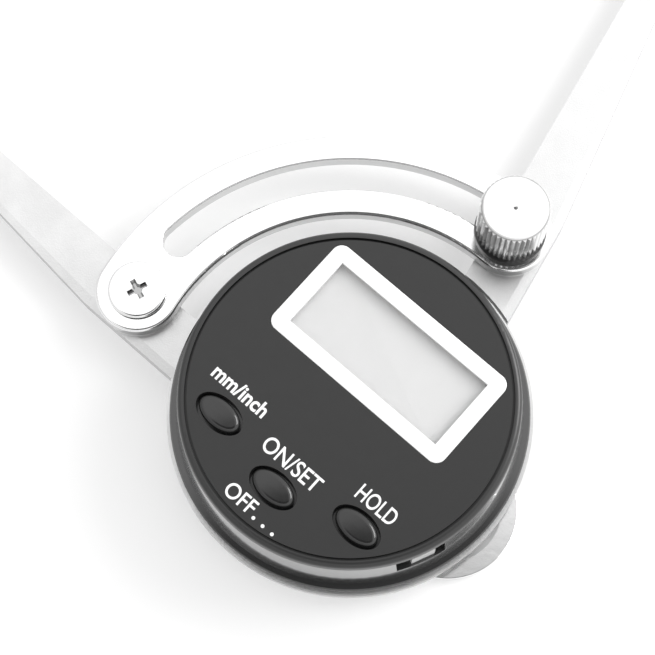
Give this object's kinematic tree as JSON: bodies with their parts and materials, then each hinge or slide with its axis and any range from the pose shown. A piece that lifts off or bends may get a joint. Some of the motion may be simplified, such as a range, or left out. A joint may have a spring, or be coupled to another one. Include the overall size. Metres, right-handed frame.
{
  "type": "digital goniometer",
  "caption": "Digital goniometer: flat steel arms on one pivot, slotted quadrant with a knurled lock, and a round head with a display and push buttons.",
  "frame": {"origin": "on the pivot axis, at the back plate's underside, where the instrument lies on a table", "axes": "+Z along the pivot towards the display face, +Y bisects the arms at their rest opening, +X towards the moving arm"},
  "size_m": [0.1566, 0.1131, 0.0162],
  "materials": {
    "satin_steel": "bead-blasted satin, edges ground bright",
    "polished_steel": "polished, rounded edges",
    "screw_steel": "plain turned steel",
    "knob_steel": "bright plated, straight knurl",
    "dark_housing": "moulded, fine spark texture",
    "dark_cover": "moulded, satin rim",
    "face_overlay": "fine-grained overlay with white printing",
    "white_plastic": "smooth white",
    "clear_window": "clear",
    "display_glass": "pale grey liquid-crystal panel",
    "black_rubber": "soft, matte",
    "board_laminate": "green solder mask",
    "chip_resin": "moulded resin",
    "spring_steel": "thin bright sheet",
    "socket_plastic": "grey moulding",
    "brass": "turned",
    "cell_steel": "bright can",
    "button_plastic": "gloss black"
  },
  "bodies": {
    "head": {"fixed_arm": "satin_steel", "locking_quadrant": "polished_steel", "quadrant_screw": "polished_steel", "quadrant_dowel": "screw_steel", "pivot_bush": "brass", "back_plate": "polished_steel", "back_spacers": "screw_steel", "back_screws": "screw_steel", "housing": "dark_housing", "head_screws": "screw_steel", "cover": "dark_cover", "face_label": "face_overlay", "display_frame": "white_plastic", "display_window": "clear_window", "display_panel": "display_glass", "contact_strip": "black_rubber", "circuit_board": "board_laminate", "controller_chip": "chip_resin", "data_socket": "socket_plastic", "dome_switches": "spring_steel", "sensor_stator": "board_laminate", "cell_contact": "spring_steel", "ground_pin": "brass", "button_cell": "cell_steel"},
    "moving_arm": {"moving_arm": "satin_steel", "pivot_shaft": "screw_steel", "thrust_washer": "spring_steel", "retaining_ring": "spring_steel", "sensor_rotor": "board_laminate", "clamp_stud": "screw_steel", "clamp_washer": "knob_steel"},
    "knob_thread": {"knob_insert": "brass"},
    "clamp_knob": {"clamp_knob": "knob_steel"},
    "battery_cap": {"battery_cap": "screw_steel", "cap_seal": "black_rubber"},
    "unit_button": {"unit_button": "button_plastic"},
    "power_button": {"power_button": "button_plastic"},
    "hold_button": {"hold_button": "button_plastic"}
  },
  "joints": [
    {"name": "arm_pivot", "type": "hinge", "parent": "head", "child": "moving_arm", "pos_m": [0, 0, 0.003], "axis": [0, 0, 1], "range_deg": [0, 82]},
    {"name": "knob_lift", "type": "slide", "parent": "moving_arm", "child": "knob_thread", "axis": [0, 0, 1], "range_m": [0, 0.0014]},
    {"name": "knob_turn", "type": "hinge", "parent": "knob_thread", "child": "clamp_knob", "pos_m": [0.02608, 0.02134, 0.0072], "axis": [0, 0, 1], "range_deg": [0, 720]},
    {"name": "cap_turn", "type": "hinge", "parent": "head", "child": "battery_cap", "pos_m": [0.01098, -0.01452, 0.001], "axis": [0, 0, 1], "range_deg": [0, 30]},
    {"name": "unit_button_press", "type": "slide", "parent": "head", "child": "unit_button", "axis": [0, 0, -1], "range_m": [0, 0.0004], "stiffness_N_per_m": 600, "springref_m": -0.0008},
    {"name": "power_button_press", "type": "slide", "parent": "head", "child": "power_button", "axis": [0, 0, -1], "range_m": [0, 0.0004], "stiffness_N_per_m": 600, "springref_m": -0.0008},
    {"name": "hold_button_press", "type": "slide", "parent": "head", "child": "hold_button", "axis": [0, 0, -1], "range_m": [0, 0.0004], "stiffness_N_per_m": 600, "springref_m": -0.0008}
  ],
  "couplings": [
    {"joint": "knob_turn", "follows": "knob_lift", "rad_per_m": 8975}
  ]
}
